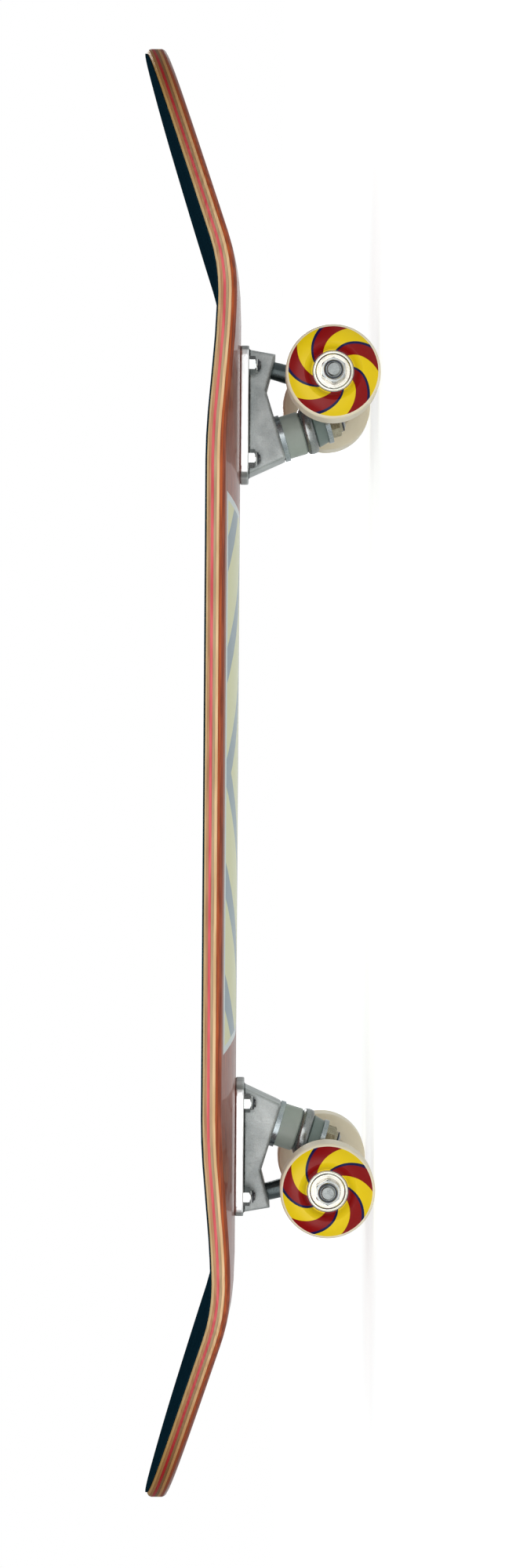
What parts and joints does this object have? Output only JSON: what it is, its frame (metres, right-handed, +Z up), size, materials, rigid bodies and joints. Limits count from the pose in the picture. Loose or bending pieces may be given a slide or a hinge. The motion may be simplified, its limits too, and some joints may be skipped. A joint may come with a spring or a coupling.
{
  "type": "skateboard",
  "caption": "Popsicle skateboard: a pressed concave laminated deck with a kicked nose and tail, on sprung steering trucks with urethane wheels that spin on ball bearings.",
  "frame": {"origin": "on the ground, under the middle of the deck's length and width", "axes": "+X towards the nose, +Y to the rider's left when facing the nose, +Z up"},
  "size_m": [0.843, 0.206, 0.1355],
  "materials": {
    "maple_orange": "stained maple veneer under lacquer",
    "maple_cream": "plain maple veneer",
    "maple_taupe": "grey-stained maple veneer",
    "maple_red": "red-stained maple veneer",
    "maple_tan": "tan maple veneer",
    "maple_pale": "pale maple veneer",
    "grip": "abrasive sheet, matt and gritty",
    "black_steel": "black oxide",
    "zinc_steel": "bright zinc plate",
    "cast_aluminium": "as cast, lightly polished",
    "hanger_aluminium": "as cast, satin",
    "bushing_urethane": "smooth grey-green urethane",
    "axle_steel": "ground steel",
    "bearing_steel": "ground and polished",
    "shield_steel": "pressed sheet",
    "ball_steel": "polished",
    "cage_nylon": "moulded nylon",
    "spacer_aluminium": "turned tube",
    "wheel_urethane": "cream cast urethane"
  },
  "bodies": {
    "board": {"ply_1": "maple_orange", "ply_2": "maple_orange", "ply_3": "maple_cream", "ply_4": "maple_taupe", "ply_5": "maple_red", "ply_6": "maple_tan", "ply_7": "maple_pale", "grip_tape": "grip", "mounting_bolts": "black_steel", "mounting_nuts": "zinc_steel", "front_baseplate": "cast_aluminium", "front_pivot_cup": "bushing_urethane", "front_kingpin": "zinc_steel", "front_upper_washer": "zinc_steel", "front_board_bushing": "bushing_urethane", "front_road_bushing": "bushing_urethane", "front_lower_washer": "zinc_steel", "front_kingpin_nut": "zinc_steel", "rear_baseplate": "cast_aluminium", "rear_pivot_cup": "bushing_urethane", "rear_kingpin": "zinc_steel", "rear_upper_washer": "zinc_steel", "rear_board_bushing": "bushing_urethane", "rear_road_bushing": "bushing_urethane", "rear_lower_washer": "zinc_steel", "rear_kingpin_nut": "zinc_steel"},
    "front_truck": {"front_hanger": "hanger_aluminium", "front_axle": "axle_steel", "front_axle_nuts": "zinc_steel", "front_speed_washers": "zinc_steel", "front_inner_races": "bearing_steel", "front_spacers": "spacer_aluminium"},
    "front_left_roller": {"front_left_wheel": "wheel_urethane", "front_left_outer_races": "bearing_steel", "front_left_shields": "shield_steel"},
    "front_left_ball_set": {"front_left_balls": "ball_steel", "front_left_cages": "cage_nylon"},
    "front_right_roller": {"front_right_wheel": "wheel_urethane", "front_right_outer_races": "bearing_steel", "front_right_shields": "shield_steel"},
    "front_right_ball_set": {"front_right_balls": "ball_steel", "front_right_cages": "cage_nylon"},
    "rear_truck": {"rear_hanger": "hanger_aluminium", "rear_axle": "axle_steel", "rear_axle_nuts": "zinc_steel", "rear_speed_washers": "zinc_steel", "rear_inner_races": "bearing_steel", "rear_spacers": "spacer_aluminium"},
    "rear_left_roller": {"rear_left_wheel": "wheel_urethane", "rear_left_outer_races": "bearing_steel", "rear_left_shields": "shield_steel"},
    "rear_left_ball_set": {"rear_left_balls": "ball_steel", "rear_left_cages": "cage_nylon"},
    "rear_right_roller": {"rear_right_wheel": "wheel_urethane", "rear_right_outer_races": "bearing_steel", "rear_right_shields": "shield_steel"},
    "rear_right_ball_set": {"rear_right_balls": "ball_steel", "rear_right_cages": "cage_nylon"}
  },
  "joints": [
    {"name": "front_lean", "type": "hinge", "parent": "board", "child": "front_truck", "pos_m": [0.20078, 0, 0.03871], "axis": [0.8258, 0, 0.5639], "range_deg": [-15, 15], "stiffness_Nm_per_rad": 60, "deforming": ["front_board_bushing", "front_road_bushing"]},
    {"name": "front_left_spin", "type": "hinge", "parent": "front_truck", "child": "front_left_roller", "pos_m": [0.22381, 0.07995, 0.0265], "axis": [0, 1, 0], "continuous": true},
    {"name": "front_left_ball_orbit", "type": "hinge", "parent": "front_truck", "child": "front_left_ball_set", "pos_m": [0.22381, 0.07995, 0.0265], "axis": [0, 1, 0], "continuous": true},
    {"name": "front_right_spin", "type": "hinge", "parent": "front_truck", "child": "front_right_roller", "pos_m": [0.22381, -0.07995, 0.0265], "axis": [0, 1, 0], "continuous": true},
    {"name": "front_right_ball_orbit", "type": "hinge", "parent": "front_truck", "child": "front_right_ball_set", "pos_m": [0.22381, -0.07995, 0.0265], "axis": [0, 1, 0], "continuous": true},
    {"name": "rear_lean", "type": "hinge", "parent": "board", "child": "rear_truck", "pos_m": [-0.20918, 0, 0.03871], "axis": [-0.8258, 0, 0.5639], "range_deg": [-15, 15], "stiffness_Nm_per_rad": 60, "deforming": ["rear_board_bushing", "rear_road_bushing"]},
    {"name": "rear_left_spin", "type": "hinge", "parent": "rear_truck", "child": "rear_left_roller", "pos_m": [-0.23221, 0.07995, 0.0265], "axis": [0, 1, 0], "continuous": true},
    {"name": "rear_left_ball_orbit", "type": "hinge", "parent": "rear_truck", "child": "rear_left_ball_set", "pos_m": [-0.23221, 0.07995, 0.0265], "axis": [0, 1, 0], "continuous": true},
    {"name": "rear_right_spin", "type": "hinge", "parent": "rear_truck", "child": "rear_right_roller", "pos_m": [-0.23221, -0.07995, 0.0265], "axis": [0, 1, 0], "continuous": true},
    {"name": "rear_right_ball_orbit", "type": "hinge", "parent": "rear_truck", "child": "rear_right_ball_set", "pos_m": [-0.23221, -0.07995, 0.0265], "axis": [0, 1, 0], "continuous": true}
  ],
  "couplings": [
    {"joint": "front_left_ball_orbit", "follows": "front_left_spin", "ratio": 0.63233},
    {"joint": "front_right_ball_orbit", "follows": "front_right_spin", "ratio": 0.63233},
    {"joint": "rear_left_ball_orbit", "follows": "rear_left_spin", "ratio": 0.63233},
    {"joint": "rear_right_ball_orbit", "follows": "rear_right_spin", "ratio": 0.63233}
  ]
}
